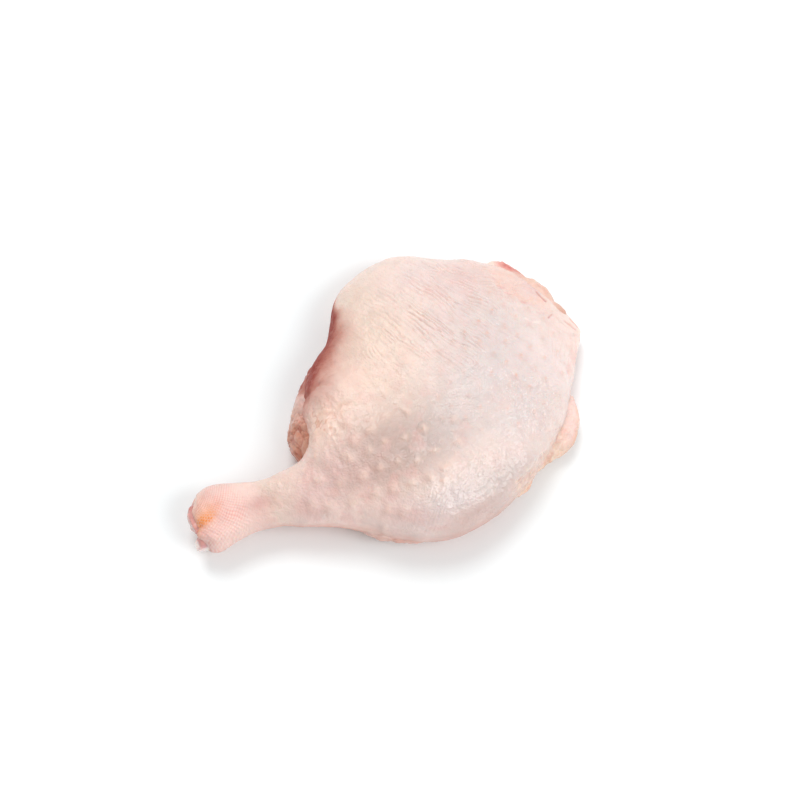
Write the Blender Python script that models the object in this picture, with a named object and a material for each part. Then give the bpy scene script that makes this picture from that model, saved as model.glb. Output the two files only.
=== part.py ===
"""Raw duck leg: drumstick and thigh in one piece, lying skin side up.

Frame: metres in the scene.  The tables below are in millimetres on a leg of
DRAWN_LENGTH, and the whole is scaled to LEG_LENGTH and centred on the origin.
+X runs from the cut hock to the far edge of the thigh, +Y across the leg
towards the inside of the knee, +Z up.  The leg rests on z = 0.

The leg is one closed solid.  It is built from a few lofted forms (the leg
itself, the flesh inside the knee, the loose skin edges) that are joined and
then trimmed flat where the meat sits on the table.
"""
import bmesh
import bpy
import numpy as np
from mathutils import Vector

LEG_LENGTH = 182.0         # hock end to far edge of the thigh, mm
DRAWN_LENGTH = 191.0       # the same length in the tables below
MM = 0.001 * LEG_LENGTH / DRAWN_LENGTH     # one table millimetre in metres

# ---------------------------------------------------------------- sizes (mm)
# A rib is one cross-section.  Its columns are:
#   outer edge x, y | inner edge x, y | crown height | crown place (0 = outer
#   edge, 1 = inner edge) | outer edge height | inner edge height | underside
LEG_RIBS = [
    (-90.4, -18.4, -89.4, 2.6, 20.0, 0.50, 11.5, 12.0, 5.0),     # cut end
    (-88.8, -20.2, -87.4, 4.2, 22.2, 0.50, 12.0, 12.3, 4.0),
    (-85.4, -21.3, -84.6, 5.1, 23.4, 0.50, 12.7, 12.8, 3.7),     # hock knob
    (-78.0, -20.8, -77.5, 5.2, 24.0, 0.50, 14.0, 14.0, 4.5),
    (-69.0, -21.0, -68.5, 1.8, 23.0, 0.50, 14.5, 14.5, 6.5),     # waist
    (-59.5, -23.7, -59.0, -2.2, 23.5, 0.50, 15.0, 15.0, 7.0),    # shank
    (-50.0, -28.8, -49.0, -3.3, 26.5, 0.50, 15.5, 15.0, 6.0),
    (-40.0, -33.4, -39.0, -1.8, 30.0, 0.49, 15.5, 14.0, 4.0),    # calf
    (-29.0, -41.0, -32.8, 8.8, 33.5, 0.47, 14.5, 12.5, 2.0),
    (-17.0, -51.4, -26.6, 20.8, 36.0, 0.44, 13.5, 11.5, 0.5),
    (-4.0, -59.0, -17.2, 33.2, 37.5, 0.42, 13.5, 11.0, -0.5),    # knee
    (9.0, -61.9, -3.4, 42.9, 38.0, 0.41, 13.5, 10.5, -1.2),
    (22.0, -61.0, 7.7, 57.4, 37.5, 0.41, 13.0, 9.5, -1.6),
    (35.0, -58.0, 23.0, 64.2, 36.5, 0.42, 12.0, 9.0, -1.6),      # thigh
    (48.0, -52.4, 39.0, 64.2, 35.0, 0.43, 11.0, 8.5, -1.4),
    (61.0, -44.0, 52.5, 57.6, 32.0, 0.45, 10.5, 8.0, -1.0),
    (72.5, -34.5, 66.0, 49.5, 28.0, 0.47, 10.0, 7.5, 0.0),
    (82.0, -22.8, 78.5, 40.6, 23.0, 0.49, 9.0, 7.0, 1.5),
    (90.0, -12.4, 88.0, 28.6, 17.0, 0.50, 8.5, 7.0, 2.0),        # far edge
    (95.6, -5.0, 94.0, 13.6, 11.0, 0.50, 8.0, 7.0, 3.5),
    (97.0, -3.2, 96.2, 3.2, 9.6, 0.50, 8.0, 8.0, 4.5),
]

# Flesh bulging past the skin on the inside of the knee.
KNEE_RIBS = [
    (-35.5, -5.0, -38.4, 0.0, 11.5, 0.50, 9.5, 9.5, 5.0),
    (-29.0, -4.0, -39.3, 6.4, 19.0, 0.45, 12.0, 10.0, 1.5),
    (-24.0, 4.0, -36.0, 15.8, 18.5, 0.42, 13.0, 10.0, 0.5),
    (-18.0, 12.0, -28.2, 23.4, 18.5, 0.42, 13.0, 10.0, 0.5),
    (-11.0, 20.0, -20.4, 31.6, 16.5, 0.45, 13.0, 10.0, 0.5),
    (-5.0, 26.0, -13.0, 36.2, 13.5, 0.50, 10.5, 10.0, 2.5),
    (0.0, 32.0, -5.0, 38.5, 11.0, 0.50, 10.0, 10.0, 6.0),
]

# Loose skin and fat hanging out under the outer edge of the thigh.
OUTER_FLAP_RIBS = [
    (78.8, -29.0, 74.0, -23.0, 11.0, 0.50, 9.5, 10.0, 7.0),
    (77.4, -36.2, 66.0, -27.0, 14.0, 0.55, 6.5, 10.0, 4.0),
    (73.0, -43.2, 60.0, -32.0, 15.0, 0.55, 5.0, 9.0, 2.0),
    (66.5, -47.8, 56.0, -36.0, 15.0, 0.55, 5.0, 9.0, 1.5),
    (57.0, -49.0, 50.0, -38.0, 12.5, 0.55, 6.0, 9.0, 2.0),
    (48.4, -51.6, 43.0, -42.0, 12.5, 0.50, 7.5, 9.0, 3.0),
    (42.5, -56.0, 39.0, -49.0, 12.0, 0.50, 8.5, 9.0, 5.0),
    (36.5, -57.4, 35.5, -54.0, 10.5, 0.50, 9.0, 9.0, 7.5),
]

# Folded fat rim along the far inner corner of the thigh.
FAR_RIM_RIBS = [
    (50.0, 54.5, 53.0, 58.4, 10.5, 0.50, 8.0, 8.0, 5.5),
    (57.0, 46.0, 60.2, 53.0, 12.0, 0.50, 8.5, 8.0, 3.5),
    (62.5, 42.0, 67.6, 50.4, 13.0, 0.52, 9.0, 8.0, 2.5),
    (68.0, 36.5, 73.4, 44.0, 14.0, 0.54, 9.0, 8.0, 2.5),
    (74.0, 31.0, 81.6, 41.0, 14.5, 0.58, 9.0, 7.5, 2.5),
    (79.0, 24.0, 86.9, 30.6, 16.5, 0.58, 9.0, 7.5, 2.5),
    (83.0, 16.0, 92.2, 22.2, 16.0, 0.58, 9.0, 7.0, 2.5),
    (85.5, 7.0, 94.8, 10.4, 13.5, 0.58, 8.5, 7.0, 3.0),
    (85.5, 1.0, 95.2, 2.6, 10.5, 0.55, 8.0, 7.5, 4.5),
    (84.5, -4.0, 91.0, -4.0, 9.5, 0.50, 8.5, 8.5, 6.0),
]

# Rolled skin edge under the calf.
CALF_ROLL_RIBS = [
    (-35.0, -35.4, -33.0, -33.0, 11.0, 0.50, 9.5, 9.5, 8.0),
    (-28.8, -41.4, -25.5, -36.5, 13.0, 0.50, 9.0, 10.0, 5.5),
    (-23.8, -47.2, -19.5, -41.0, 13.5, 0.50, 8.5, 10.0, 4.5),
    (-18.2, -50.8, -13.5, -45.0, 13.0, 0.50, 8.5, 10.0, 5.0),
    (-11.0, -55.0, -8.0, -50.5, 11.5, 0.50, 9.0, 9.5, 7.0),
]

# The two rounded ends of the joint in the cut face: x, y, z, radius.
JOINT_ENDS = [(-89.3, -14.8, 10.8, 5.0), (-88.2, -4.4, 12.0, 4.8)]

# Gentle rises and dips of the skin side: x, y, reach along, across, height.
SWELLS = [
    (-4.0, -32.0, 24.0, 16.0, 2.0),      # calf muscle
    (12.0, -12.0, 20.0, 12.0, -1.8),     # dip between calf and thigh
    (52.0, -22.0, 20.0, 15.0, 2.2),      # end of the thigh muscle
    (30.0, 26.0, 26.0, 20.0, 1.6),       # thigh
    (72.0, 12.0, 12.0, 18.0, -1.5),      # hollow before the far rim
    (-14.0, 14.0, 10.0, 9.0, 3.2),       # pad of skin inside the knee
]

# The same for the meat side; a positive height lifts it off the table.
UNDER_SWELLS = [
    (-22.0, -4.0, 16.0, 5.0, 2.4),       # groove between calf and knee
    (8.0, 28.0, 17.0, 6.0, 2.6),         # groove behind the knee
    (66.0, -8.0, 8.0, 22.0, 2.0),        # hollow under the cut hip end
    (-40.0, -16.0, 12.0, 7.0, -1.4),     # calf tendon
]

LEG_ROWS, LEG_TOP, LEG_UNDER = 66, 24, 18       # mesh steps of the leg
LOBE_ROWS, LOBE_TOP, LOBE_UNDER = 18, 9, 7      # mesh steps of the other forms
RIM_ROWS, ROLL_ROWS = 24, 14                    # rows of the longest and shortest form
TOP_FULLNESS = 0.80        # power of the crown curve, lower is boxier
UNDER_FULLNESS = 0.64
TABLE_CUT = 0.0            # height of the flat resting face
CUTTER_SIDE = 300.0        # side of the block that trims the resting face

SKIN = ("raw_skin", (0.80, 0.60, 0.52, 1.0), 0.42)      # colour, roughness


def clear_scene():
    for item in list(bpy.data.objects):
        bpy.data.objects.remove(item, do_unlink=True)


def through(rows, count):
    """Sample a smooth curve through every row of the table."""
    table = np.array(rows, dtype=float)
    padded = np.vstack([2 * table[0] - table[1], table, 2 * table[-1] - table[-2]])
    place = np.linspace(0.0, len(table) - 1.0, count)
    start = np.minimum(place.astype(int), len(table) - 2)
    t = (place - start)[:, None]
    a, b, c, d = (padded[start + k] for k in range(4))
    return 0.5 * (2 * b + (c - a) * t + (2 * a - 5 * b + 4 * c - d) * t ** 2
                  + (3 * b - a - 3 * c + d) * t ** 3)


def swell(places, x, y):
    """Height that a list of rises and dips adds at a place."""
    rise = np.zeros_like(x)
    for cx, cy, along, across, height in places:
        rise += height * np.exp(-((x - cx) / along) ** 2 - ((y - cy) / across) ** 2)
    return rise


def ring(rib, top_steps, under_steps, swelling):
    """Points around one cross-section, from the outer edge over the crown."""
    ox, oy, ix, iy, crown, place, outer_z, inner_z, under = rib
    turn = np.pi * np.arange(top_steps) / top_steps
    across = ((1 - np.cos(turn)) / 2) ** (np.log(place) / np.log(0.5))
    base = outer_z + (inner_z - outer_z) * across
    x = ox + (ix - ox) * across
    y = oy + (iy - oy) * across
    z = base + (crown - base) * np.sin(turn) ** TOP_FULLNESS
    z += swelling * swell(SWELLS, x, y) * np.sin(turn)
    back = np.pi * np.arange(under_steps) / under_steps
    across_back = (1 + np.cos(back)) / 2
    base_back = outer_z + (inner_z - outer_z) * across_back
    xb = ox + (ix - ox) * across_back
    yb = oy + (iy - oy) * across_back
    zb = base_back + (under - base_back) * np.sin(back) ** UNDER_FULLNESS
    zb += swelling * swell(UNDER_SWELLS, xb, yb) * np.sin(back)
    return np.stack([np.append(x, xb), np.append(y, yb), np.append(z, zb)], axis=1)


def closed_mesh(name, rings):
    """Skin a stack of rings and close both ends with a fan."""
    grid = np.array(rings)
    rows, around = grid.shape[:2]
    points = [tuple(p * MM) for p in grid.reshape(-1, 3)]
    faces = []
    for r in range(rows - 1):
        for k in range(around):
            nxt = (k + 1) % around
            faces.append((r * around + k, r * around + nxt,
                          (r + 1) * around + nxt, (r + 1) * around + k))
    first_hub = len(points)
    points.append(tuple(grid[0].mean(axis=0) * MM))
    points.append(tuple(grid[-1].mean(axis=0) * MM))
    last = (rows - 1) * around
    for k in range(around):
        nxt = (k + 1) % around
        faces.append((nxt, k, first_hub))
        faces.append((last + k, last + nxt, first_hub + 1))
    mesh = bpy.data.meshes.new(name)
    mesh.from_pydata(points, [], faces)
    tidy = bmesh.new()
    tidy.from_mesh(mesh)
    bmesh.ops.recalc_face_normals(tidy, faces=tidy.faces)
    tidy.to_mesh(mesh)
    tidy.free()
    form = bpy.data.objects.new(name, mesh)
    bpy.context.scene.collection.objects.link(form)
    return form


def lofted(name, ribs, rows, top_steps, under_steps, swelling=0.0):
    return closed_mesh(name, [ring(rib, top_steps, under_steps, swelling)
                              for rib in through(ribs, rows)])


def ball(name, x, y, z, radius):
    mesh = bpy.data.meshes.new(name)
    shape = bmesh.new()
    bmesh.ops.create_icosphere(shape, subdivisions=2, radius=radius * MM)
    bmesh.ops.translate(shape, verts=shape.verts, vec=Vector((x, y, z)) * MM)
    shape.to_mesh(mesh)
    shape.free()
    form = bpy.data.objects.new(name, mesh)
    bpy.context.scene.collection.objects.link(form)
    return form


def table_block():
    """The block of space below the resting face."""
    mesh = bpy.data.meshes.new("below_table")
    shape = bmesh.new()
    bmesh.ops.create_cube(shape, size=CUTTER_SIDE * MM)
    drop = (TABLE_CUT - CUTTER_SIDE / 2) * MM
    bmesh.ops.translate(shape, verts=shape.verts, vec=Vector((0.0, 0.0, drop)))
    shape.to_mesh(mesh)
    shape.free()
    form = bpy.data.objects.new("below_table", mesh)
    bpy.context.scene.collection.objects.link(form)
    return form


def combine(body, tools, operation):
    """Apply one exact Boolean per tool to the body, then drop the tools."""
    for tool in tools:
        step = body.modifiers.new(tool.name, "BOOLEAN")
        step.operation = operation
        step.solver = "EXACT"
        step.object = tool
    graph = bpy.context.evaluated_depsgraph_get()
    result = bpy.data.meshes.new_from_object(body.evaluated_get(graph))
    body.modifiers.clear()
    body.data = result
    for tool in tools:
        bpy.data.objects.remove(tool, do_unlink=True)


def centre(body):
    """Bring the middle of the plan outline over the origin."""
    plan = np.array([point.co for point in body.data.vertices])
    middle = (plan.min(axis=0) + plan.max(axis=0)) / 2
    for point in body.data.vertices:
        point.co.x -= middle[0]
        point.co.y -= middle[1]


def skin_material():
    name, colour, roughness = SKIN
    material = bpy.data.materials.new(name)
    material.use_nodes = True
    shader = material.node_tree.nodes["Principled BSDF"]
    shader.inputs["Base Color"].default_value = colour
    shader.inputs["Roughness"].default_value = roughness
    shader.inputs["Metallic"].default_value = 0.0
    return material


def build():
    clear_scene()
    leg = lofted("duck_leg", LEG_RIBS, LEG_ROWS, LEG_TOP, LEG_UNDER, swelling=1.0)
    lobes = [
        lofted("knee_flesh", KNEE_RIBS, LOBE_ROWS, LOBE_TOP, LOBE_UNDER),
        lofted("outer_flap", OUTER_FLAP_RIBS, LOBE_ROWS, LOBE_TOP, LOBE_UNDER),
        lofted("far_rim", FAR_RIM_RIBS, RIM_ROWS, LOBE_TOP, LOBE_UNDER),
        lofted("calf_roll", CALF_ROLL_RIBS, ROLL_ROWS, LOBE_TOP, LOBE_UNDER),
    ]
    joints = [ball("joint_end_%d" % n, *size) for n, size in enumerate(JOINT_ENDS)]
    combine(leg, lobes + joints, "UNION")
    combine(leg, [table_block()], "DIFFERENCE")
    centre(leg)
    leg.data.name = "duck_leg"
    leg.data.materials.clear()
    leg.data.materials.append(skin_material())
    for face in leg.data.polygons:
        face.material_index = 0


build()
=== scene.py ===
"""Looks of one raw duck leg, lying skin side up on a white floor.

The forms repeat the CAD's cross-section tables: millimetres on a leg of
DRAWN_LENGTH, scaled to LEG_LENGTH.  Dents, wrinkles, follicles and scales are
real moves of the mesh; only pores and the crispest folds are bump.  The tints
are worked out from places and tones listed here, and stored on the mesh.
"""
import math

import bpy
import numpy as np
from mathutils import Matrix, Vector


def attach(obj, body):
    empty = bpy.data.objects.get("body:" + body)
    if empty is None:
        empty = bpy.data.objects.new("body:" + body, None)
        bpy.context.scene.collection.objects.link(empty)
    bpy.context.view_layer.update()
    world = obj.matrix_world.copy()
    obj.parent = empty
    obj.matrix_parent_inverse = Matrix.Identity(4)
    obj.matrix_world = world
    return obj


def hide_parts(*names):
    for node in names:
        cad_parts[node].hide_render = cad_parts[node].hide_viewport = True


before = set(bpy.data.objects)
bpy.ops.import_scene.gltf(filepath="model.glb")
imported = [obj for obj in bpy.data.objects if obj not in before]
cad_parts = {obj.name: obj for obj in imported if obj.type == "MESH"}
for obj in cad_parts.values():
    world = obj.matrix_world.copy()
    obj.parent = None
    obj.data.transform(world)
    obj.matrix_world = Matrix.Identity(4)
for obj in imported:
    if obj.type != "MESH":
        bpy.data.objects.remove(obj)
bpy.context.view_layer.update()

LEG_LENGTH = 182.0         # cut hock to far edge, mm
DRAWN_LENGTH = 191.0       # the same length in the tables below
MM = 0.001 * LEG_LENGTH / DRAWN_LENGTH
MIDDLE = np.array([1.472, 1.535, 0.0])      # table place that sits on the origin

# ------------------------------------------------------------------ the form
# A rib is one cross-section:
# outer edge x, y | inner edge x, y | crown height | crown place |
# outer edge height | inner edge height | underside height
LEG_RIBS = [
    (-90.4, -18.4, -89.4, 2.6, 20.0, 0.50, 11.5, 12.0, 5.0),
    (-88.8, -20.2, -87.4, 4.2, 22.2, 0.50, 12.0, 12.3, 4.0),
    (-85.4, -21.3, -84.6, 5.1, 23.4, 0.50, 12.7, 12.8, 3.7),
    (-78.0, -20.8, -77.5, 5.2, 24.0, 0.50, 14.0, 14.0, 4.5),
    (-69.0, -21.0, -68.5, 1.8, 23.0, 0.50, 14.5, 14.5, 6.5),
    (-59.5, -23.7, -59.0, -2.2, 23.5, 0.50, 15.0, 15.0, 7.0),
    (-50.0, -28.8, -49.0, -3.3, 26.5, 0.50, 15.5, 15.0, 6.0),
    (-40.0, -33.4, -39.0, -1.8, 30.0, 0.49, 15.5, 14.0, 4.0),
    (-29.0, -41.0, -32.8, 8.8, 33.5, 0.47, 14.5, 12.5, 2.0),
    (-17.0, -51.4, -26.6, 20.8, 36.0, 0.44, 13.5, 11.5, 0.5),
    (-4.0, -59.0, -17.2, 33.2, 37.5, 0.42, 13.5, 11.0, -0.5),
    (9.0, -61.9, -3.4, 42.9, 38.0, 0.41, 13.5, 10.5, -1.2),
    (22.0, -61.0, 7.7, 57.4, 37.5, 0.41, 13.0, 9.5, -1.6),
    (35.0, -58.0, 23.0, 64.2, 36.5, 0.42, 12.0, 9.0, -1.6),
    (48.0, -52.4, 39.0, 64.2, 35.0, 0.43, 11.0, 8.5, -1.4),
    (61.0, -44.0, 52.5, 57.6, 32.0, 0.45, 10.5, 8.0, -1.0),
    (72.5, -34.5, 66.0, 49.5, 28.0, 0.47, 10.0, 7.5, 0.0),
    (82.0, -22.8, 78.5, 40.6, 23.0, 0.49, 9.0, 7.0, 1.5),
    (90.0, -12.4, 88.0, 28.6, 17.0, 0.50, 8.5, 7.0, 2.0),
    (95.6, -5.0, 94.0, 13.6, 11.0, 0.50, 8.0, 7.0, 3.5),
    (97.0, -3.2, 96.2, 3.2, 9.6, 0.50, 8.0, 8.0, 4.5),
]
KNEE_RIBS = [
    (-35.5, -5.0, -38.4, 0.0, 11.5, 0.50, 9.5, 9.5, 5.0),
    (-29.0, -4.0, -39.3, 6.4, 19.0, 0.45, 12.0, 10.0, 1.5),
    (-24.0, 4.0, -36.0, 15.8, 18.5, 0.42, 13.0, 10.0, 0.5),
    (-18.0, 12.0, -28.2, 23.4, 18.5, 0.42, 13.0, 10.0, 0.5),
    (-11.0, 20.0, -20.4, 31.6, 16.5, 0.45, 13.0, 10.0, 0.5),
    (-5.0, 26.0, -13.0, 36.2, 13.5, 0.50, 10.5, 10.0, 2.5),
    (0.0, 32.0, -5.0, 38.5, 11.0, 0.50, 10.0, 10.0, 6.0),
]
OUTER_FLAP_RIBS = [
    (78.8, -29.0, 74.0, -23.0, 11.0, 0.50, 9.5, 10.0, 7.0),
    (77.4, -36.2, 66.0, -27.0, 14.0, 0.55, 6.5, 10.0, 4.0),
    (73.0, -43.2, 60.0, -32.0, 15.0, 0.55, 5.0, 9.0, 2.0),
    (66.5, -47.8, 56.0, -36.0, 15.0, 0.55, 5.0, 9.0, 1.5),
    (57.0, -49.0, 50.0, -38.0, 12.5, 0.55, 6.0, 9.0, 2.0),
    (48.4, -51.6, 43.0, -42.0, 12.5, 0.50, 7.5, 9.0, 3.0),
    (42.5, -56.0, 39.0, -49.0, 12.0, 0.50, 8.5, 9.0, 5.0),
    (36.5, -57.4, 35.5, -54.0, 10.5, 0.50, 9.0, 9.0, 7.5),
]
FAR_RIM_RIBS = [
    (50.0, 54.5, 53.0, 58.4, 10.5, 0.50, 8.0, 8.0, 5.5),
    (57.0, 46.0, 60.2, 53.0, 12.0, 0.50, 8.5, 8.0, 3.5),
    (62.5, 42.0, 67.6, 50.4, 13.0, 0.52, 9.0, 8.0, 2.5),
    (68.0, 36.5, 73.4, 44.0, 14.0, 0.54, 9.0, 8.0, 2.5),
    (74.0, 31.0, 81.6, 41.0, 14.5, 0.58, 9.0, 7.5, 2.5),
    (79.0, 24.0, 86.9, 30.6, 16.5, 0.58, 9.0, 7.5, 2.5),
    (83.0, 16.0, 92.2, 22.2, 16.0, 0.58, 9.0, 7.0, 2.5),
    (85.5, 7.0, 94.8, 10.4, 13.5, 0.58, 8.5, 7.0, 3.0),
    (85.5, 1.0, 95.2, 2.6, 10.5, 0.55, 8.0, 7.5, 4.5),
    (84.5, -4.0, 91.0, -4.0, 9.5, 0.50, 8.5, 8.5, 6.0),
]
CALF_ROLL_RIBS = [
    (-35.0, -35.4, -33.0, -33.0, 11.0, 0.50, 9.5, 9.5, 8.0),
    (-28.8, -41.4, -25.5, -36.5, 13.0, 0.50, 9.0, 10.0, 5.5),
    (-23.8, -47.2, -19.5, -41.0, 13.5, 0.50, 8.5, 10.0, 4.5),
    (-18.2, -50.8, -13.5, -45.0, 13.0, 0.50, 8.5, 10.0, 5.0),
    (-11.0, -55.0, -8.0, -50.5, 11.5, 0.50, 9.0, 9.5, 7.0),
    (-5.4, -57.4, -4.4, -56.0, 10.0, 0.50, 9.2, 9.4, 8.4),
]
# The two ends of the joint in the cut face: x, y, z, radius.
JOINT_ENDS = [(-89.3, -14.8, 10.8, 5.0), (-88.2, -4.4, 12.0, 4.8)]
# Gentle rises and dips of each side: x, y, reach along, across, height.
SWELLS = [
    (-4.0, -32.0, 24.0, 16.0, 2.0),
    (12.0, -12.0, 20.0, 12.0, -1.8),
    (52.0, -22.0, 20.0, 15.0, 2.2),
    (30.0, 26.0, 26.0, 20.0, 1.6),
    (72.0, 12.0, 12.0, 18.0, -1.5),
    (-14.0, 14.0, 10.0, 9.0, 3.2),
]
UNDER_SWELLS = [
    (-22.0, -4.0, 16.0, 5.0, 2.4),
    (8.0, 28.0, 17.0, 6.0, 2.6),
    (66.0, -8.0, 8.0, 22.0, 2.0),
    (-40.0, -16.0, 12.0, 7.0, -1.4),
]
TOP_FULLNESS = 0.80
UNDER_FULLNESS = 0.64
AROUND_TOP, AROUND_UNDER = 400, 90         # mesh columns of the leg
# Where the leg's mesh is divided: name, x where it ends, rows.
LEG_STRETCHES = [
    ("leg_hock", -58.0, 112), ("leg_shank", -20.0, 112), ("leg_calf", 16.0, 118),
    ("leg_thigh", 52.0, 160), ("leg_far_end", 97.0, 190),
]

# ------------------------------------------------------- skin relief (places)
# centre x, y | reach x, y | direction of the lines, degrees | spacing |
# length | height
WRINKLES = [
    (35.0, 27.0, 17.0, 20.0, -69.0, 2.00, 14.0, 0.76),
    (57.0, 29.0, 13.0, 12.0, -54.0, 1.70, 10.0, 0.70),
    (52.0, 43.0, 16.0, 10.0, -60.0, 1.60, 9.0, 0.60),
    (72.0, 33.0, 9.0, 9.0, -30.0, 1.60, 7.0, 0.50),
    (41.0, 8.0, 14.0, 11.0, -64.0, 1.80, 9.0, 0.50),
    (13.0, 21.0, 10.0, 8.0, -79.0, 1.60, 6.0, 0.36),
    (62.0, 6.0, 16.0, 14.0, -50.0, 2.00, 6.0, 0.16),
    (-2.0, -51.0, 10.0, 7.0, 30.0, 1.60, 5.0, 0.24),
    (14.0, -50.0, 14.0, 9.0, 24.0, 1.90, 4.0, 0.16),
    (32.0, -50.0, 13.0, 10.0, -74.0, 2.30, 4.0, 0.16),
    (60.0, -30.0, 9.0, 10.0, 15.0, 1.90, 4.0, 0.22),
    (36.0, -56.0, 24.0, 6.0, 8.0, 2.40, 4.0, 0.14),
    (84.0, -12.0, 7.0, 15.0, 54.0, 2.60, 12.0, 0.30),
    (92.0, 1.0, 6.0, 6.0, -52.0, 2.10, 7.0, 0.32),
    (79.0, 22.0, 9.0, 9.0, -38.0, 1.70, 5.0, 0.34),
    (-27.0, 13.0, 6.0, 6.0, 62.0, 2.20, 6.0, 0.40),
    (-24.0, -30.0, 22.0, 12.0, 14.0, 1.60, 4.0, 0.14),
    (-50.0, -14.0, 14.0, 9.0, -20.0, 1.80, 5.0, 0.08),
]
# centre x, y | reach x, y | cell size | height
CRUMPLES = [
    (58.0, -29.0, 13.0, 14.0, 1.40, 0.34),
    (57.0, -24.0, 9.0, 12.0, 4.20, 0.45),
    (-25.0, 2.0, 10.0, 10.0, 2.90, 0.55),
    (-8.0, -2.0, 16.0, 9.0, 2.60, 0.20),
    (20.0, -47.0, 22.0, 10.0, 1.60, 0.22),
    (-48.0, -14.0, 14.0, 10.0, 3.20, 0.14),
    (76.0, 20.0, 14.0, 14.0, 1.50, 0.30),
    (20.0, 0.0, 60.0, 50.0, 0.80, 0.06),
    (-24.0, -26.0, 24.0, 16.0, 1.10, 0.07),
]
# Raised follicles of the calf: x, y, radius, height
BUMPS = [
    (10.4, -20.2, 1.7, 0.85), (1.7, -19.8, 1.6, 0.60), (8.1, -9.8, 1.7, 0.60),
    (10.4, -31.0, 1.5, 0.55), (-6.0, -28.5, 1.5, 0.60), (1.4, -31.8, 1.4, 0.60),
    (-21.0, -26.7, 1.8, 0.70), (-13.7, -27.0, 1.5, 0.50), (-4.9, -38.6, 1.5, 0.65),
    (2.8, -40.2, 1.5, 0.60), (-19.9, -34.8, 1.5, 0.40), (-18.2, -42.7, 1.5, 0.50),
    (-12.8, -37.0, 1.6, 0.50), (-22.0, -17.4, 1.7, 0.40), (-6.8, -6.3, 1.8, 0.45),
    (-0.7, -7.8, 1.8, 0.45), (-38.2, -29.8, 1.8, 0.35), (-44.3, -24.9, 2.0, 0.35),
    (-21.4, -46.3, 1.6, 0.40), (-37.0, -18.3, 1.9, 0.35), (8.2, -43.2, 1.6, 0.50),
    (20.2, -31.1, 1.5, 0.50), (13.2, -38.2, 1.6, 0.50), (-30.0, -24.0, 1.8, 0.35),
    (-13.9, -18.1, 1.7, 0.45), (-29.0, -33.0, 1.7, 0.35), (24.0, -22.0, 1.5, 0.40),
    (-9.1, -10.6, 1.7, 0.40), (-17.2, -11.0, 1.8, 0.40), (-23.7, -14.7, 1.7, 0.35),
    (10.3, -39.3, 1.5, 0.50), (-16.1, -3.4, 1.9, 0.45), (-12.5, -46.5, 1.6, 0.40),
]
FOLLICLE_ACROSS, FOLLICLE_UP = 11.4, 10.1  # spacing of the follicle lattice
FOLLICLE_TURN = -27.5                      # its direction, degrees
FOLLICLE_START = (46.8, 12.0)

SCALE_HUB = (-96.3, 11.9)                  # centre of the rings of hock scales
SCALE_PITCH = 1.02                         # from one ring to the next
SCALE_ANGLE = 2.3                          # from one row to the next, degrees

CUT_PLACE = -90.2                          # x of the cut through the hock
CUT_RINGS = 44                             # mesh rings of the cut face
JOINT_SHOWS = [(1.6, 2.6), (0.0, 1.0)]     # how far each joint end is shifted and raised

# The dark flesh along the inside of the knee, with painted shade on its steep side.
RED_SIDE = [(8.0, 60.0), (3.5, 54.0), (0.0, 48.0), (-5.0, 42.8), (-12.0, 38.0), (-18.3, 33.6),
            (-23.0, 27.5)]
# Where the skin steps down to the thin flap at the far corner.
FLAP_SEAM = [(72.0, 41.0), (72.5, 33.0), (71.0, 27.0), (73.3, 24.2), (73.2, 21.3), (74.5, 19.2),
             (77.1, 16.7), (79.4, 13.7), (81.3, 9.8), (84.7, 6.8)]
# Creases and thin folds: line | half width | depth | colour | strength. The darker colours are
# painted shade in the creases and pockets.
CREASES = [
    ([(91.4, 1.9), (94.4, -2.3)], 0.5, 0.50, (214, 140, 128), 0.70),
    ([(95.2, 3.4), (96.4, -1.1)], 0.4, 0.30, (206, 130, 112), 0.60),
    ([(90.1, -4.9), (88.1, -10.2), (85.3, -15.2), (80.0, -21.6)],
     0.9, 0.35, (232, 188, 178), 0.45),
    ([(92.7, -5.1), (89.9, -11.0), (85.2, -17.4)], 0.8, 0.35, (232, 184, 172), 0.45),
    ([(84.8, 5.1), (87.0, 6.2)], 0.4, 0.30, (196, 110, 100), 0.70),
    ([(86.6, 18.8), (87.2, 16.6), (87.4, 15.4), (88.4, 13.6)],
     0.5, 0.40, (184, 96, 84), 0.62),
    ([(74.5, 7.7), (76.7, 5.3), (79.7, 4.3)], 0.5, -0.30, (246, 230, 226), 0.60),
    ([(-29.0, 21.0), (-25.5, 20.4), (-22.0, 19.8), (-18.8, 20.6)],
     1.2, 1.10, (198, 134, 120), 0.50),
    ([(-21.5, 19.6), (-18.2, 18.6), (-15.0, 16.4)], 1.0, 0.35, (226, 184, 168), 0.35),
    ([(-19.6, 17.0), (-18.6, 12.4), (-19.2, 7.0)], 1.1, 0.30, (222, 176, 160), 0.40),
    ([(-24.5, 7.0), (-20.0, 4.5), (-15.0, 5.5), (-11.0, 4.0)], 0.9, 0.30, (208, 160, 138), 0.40),
    ([(-91.0, -10.4), (-88.6, -10.9), (-87.0, -12.4)], 0.5, 0.50, (210, 140, 126), 0.25),
    ([(-88.4, -13.5), (-86.0, -14.6), (-84.5, -17.0)], 0.5, 0.20, (236, 190, 182), 0.40),
    ([(-37.0, -33.9), (-28.2, -41.0), (-20.5, -48.0), (-10.9, -55.0), (2.0, -59.0)],
     0.55, 0.30, (224, 176, 166), 0.28),
]
# Lobes and notches of the far rim: x, y, reach, height.
RIM_LOBES = [
    (79.0, 42.0, 3.0, 0.8), (83.4, 37.0, 2.4, 0.5), (86.6, 33.4, 1.8, 0.6),
    (90.0, 27.5, 3.0, 0.6),
    (92.6, 19.6, 2.6, 0.5), (93.4, 13.6, 1.6, -0.9), (94.6, 7.8, 2.2, 0.6),
    (70.4, 47.6, 3.0, 0.4), (65.0, 52.0, 2.0, -0.4),
]
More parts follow.
